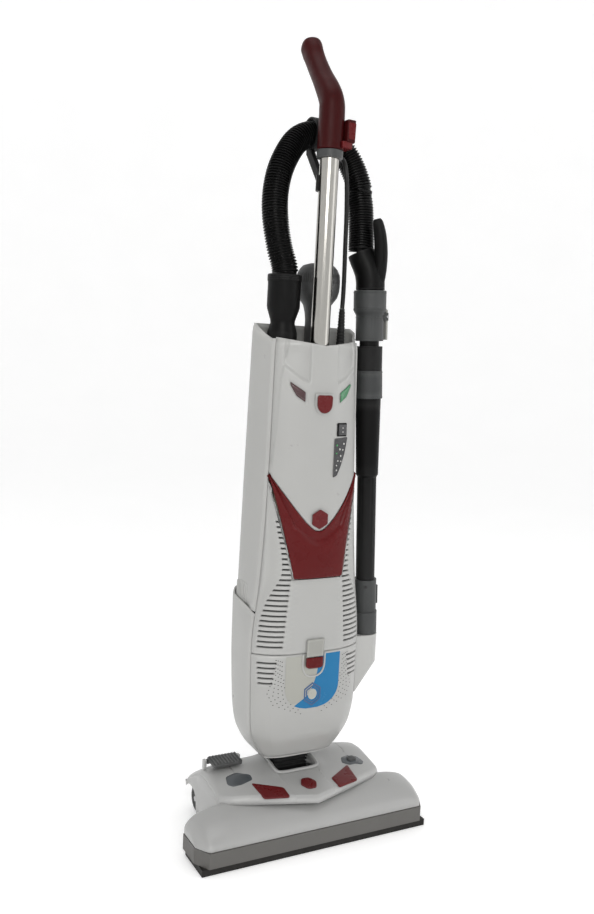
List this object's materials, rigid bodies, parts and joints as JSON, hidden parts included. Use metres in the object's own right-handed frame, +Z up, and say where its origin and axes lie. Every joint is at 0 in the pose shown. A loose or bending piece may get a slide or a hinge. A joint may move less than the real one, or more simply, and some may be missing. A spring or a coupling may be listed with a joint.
{
  "type": "upright vacuum cleaner",
  "caption": "Commercial upright vacuum cleaner with a wide floor head, reclining body, chrome handle tube, side wand with hose, roller brush and stored power cord.",
  "frame": {"origin": "middle of the footprint on the floor, under the floor head", "axes": "+Z up along the handle, -Y towards the front of the head, +X to the right as seen from the front"},
  "size_m": [0.384, 0.2, 1.1946],
  "materials": {
    "body_grey": "satin",
    "maroon": "satin",
    "black": "satin",
    "dark_grey": "matte",
    "collar_grey": "satin",
    "light_grey": "satin",
    "band_grey": "matte",
    "sole_dark": "matte",
    "tube_chrome": "polished",
    "steel": "brushed",
    "rubber_black": "matte",
    "window_smoke": "gloss",
    "panel_blue": "gloss",
    "panel_black": "gloss",
    "lens_red": "gloss",
    "lens_green": "gloss",
    "badge_red": "gloss",
    "bristle_black": "matte",
    "filter_white": "matte",
    "bag_paper": "matte",
    "motor_metal": "cast"
  },
  "bodies": {
    "floor_head": {"sole_plate": "sole_dark", "bumper_band": "band_grey", "front_hood": "body_grey", "rear_deck": "body_grey", "deck_trim": "maroon", "belt_window": "window_smoke", "brush_motor": "motor_metal", "drive_belt": "rubber_black", "wheel_axles": "steel", "recline_pin": "steel"},
    "roller_brush": {"brush_core": "dark_grey", "brush_bristles": "bristle_black"},
    "motor_pulley_body": {"motor_pulley": "steel"},
    "left_wheel_body": {"left_wheel": "rubber_black"},
    "right_wheel_body": {"right_wheel": "rubber_black"},
    "pedal": {"release_pedal": "dark_grey"},
    "height_knob": {"height_slider": "window_smoke"},
    "upper_unit": {"swivel_neck": "rubber_black", "lower_casing": "body_grey", "lower_cover": "body_grey", "emblem_panel": "panel_blue", "exhaust_filter": "filter_white", "suction_motor": "motor_metal", "motor_seals": "rubber_black", "rear_casing": "body_grey", "top_deck": "body_grey", "dust_bag": "bag_paper", "bag_holder": "light_grey", "handle_tube": "tube_chrome", "tube_ring": "collar_grey", "grip": "maroon", "cord_clip": "maroon", "cord_hook": "black", "strain_relief": "rubber_black", "power_cord": "rubber_black", "cord_coil": "rubber_black", "power_plug": "rubber_black", "hose_cuff": "black", "suction_hose": "black", "hose_leg": "black", "hose_hook": "black", "wand_port": "body_grey", "wand_socket": "collar_grey", "casing_screws": "steel"},
    "exhaust_cover": {"vent_cover": "body_grey"},
    "cover_latch": {"latch_slider": "light_grey", "latch_key": "maroon"},
    "door": {"front_door": "body_grey", "chevron_trim": "maroon", "front_badge": "badge_red", "left_lens": "lens_red", "right_lens": "lens_green", "control_panel": "panel_black"},
    "power_rocker": {"rocker_switch": "black"},
    "door_button": {"release_button": "maroon"},
    "wand": {"wand_tube": "black", "wand_collars": "collar_grey", "hose_grip": "black"},
    "wand_lever": {"wand_latch": "light_grey"},
    "brush_tool": {"dusting_brush": "black"}
  },
  "joints": [
    {"name": "brush_spin", "type": "hinge", "parent": "floor_head", "child": "roller_brush", "pos_m": [0, -0.068, 0.027], "axis": [1, 0, 0], "continuous": true},
    {"name": "pulley_spin", "type": "hinge", "parent": "floor_head", "child": "motor_pulley_body", "pos_m": [0, -0.002, 0.05], "axis": [1, 0, 0], "continuous": true},
    {"name": "left_wheel_roll", "type": "hinge", "parent": "floor_head", "child": "left_wheel_body", "pos_m": [0, 0.077, 0.0215], "axis": [1, 0, 0], "continuous": true},
    {"name": "right_wheel_roll", "type": "hinge", "parent": "floor_head", "child": "right_wheel_body", "pos_m": [0, 0.077, 0.0215], "axis": [1, 0, 0], "continuous": true},
    {"name": "pedal_press", "type": "hinge", "parent": "floor_head", "child": "pedal", "pos_m": [0, 0.04, 0.099], "axis": [1, 0, 0], "range_deg": [0, 8], "stiffness_Nm_per_rad": 0.6, "springref_deg": -6.88},
    {"name": "height_slide", "type": "slide", "parent": "floor_head", "child": "height_knob", "axis": [1, 0, 0], "range_m": [-0.01, 0.01]},
    {"name": "recline", "type": "hinge", "parent": "floor_head", "child": "upper_unit", "pos_m": [0, 0.02, 0.07], "axis": [-1, 0, 0], "range_deg": [0, 70]},
    {"name": "vent_cover_pull", "type": "slide", "parent": "upper_unit", "child": "exhaust_cover", "axis": [0, -1, 0], "range_m": [0, 0.012]},
    {"name": "latch_slide", "type": "slide", "parent": "exhaust_cover", "child": "cover_latch", "axis": [0, 0, -1], "range_m": [0, 0.008], "stiffness_N_per_m": 40, "springref_m": -0.004},
    {"name": "door_swing", "type": "hinge", "parent": "upper_unit", "child": "door", "pos_m": [0, -0.0505, 0.399], "axis": [1, 0, 0], "range_deg": [0, 75]},
    {"name": "rocker_tilt", "type": "hinge", "parent": "door", "child": "power_rocker", "pos_m": [0.034, -0.0285, 0.619], "axis": [1, 0, 0], "range_deg": [-5, 5]},
    {"name": "button_press", "type": "slide", "parent": "door", "child": "door_button", "axis": [0, 1, 0], "range_m": [0, 0.003], "stiffness_N_per_m": 250, "springref_m": -0.002},
    {"name": "wand_lift", "type": "slide", "parent": "upper_unit", "child": "wand", "axis": [-0.0499, 0, 0.9988], "range_m": [0, 0.045], "deforming": ["hose_leg"]},
    {"name": "lever_squeeze", "type": "hinge", "parent": "wand", "child": "wand_lever", "pos_m": [0.1228, 0.005, 0.79072], "axis": [0, 1, 0], "range_deg": [0, 6], "stiffness_Nm_per_rad": 0.4, "springref_deg": -5.73},
    {"name": "brush_tool_lift", "type": "slide", "parent": "upper_unit", "child": "brush_tool", "axis": [0, 0, 1], "range_m": [0, 0.04]}
  ],
  "couplings": [
    {"joint": "pulley_spin", "follows": "brush_spin", "ratio": 1.7125}
  ]
}
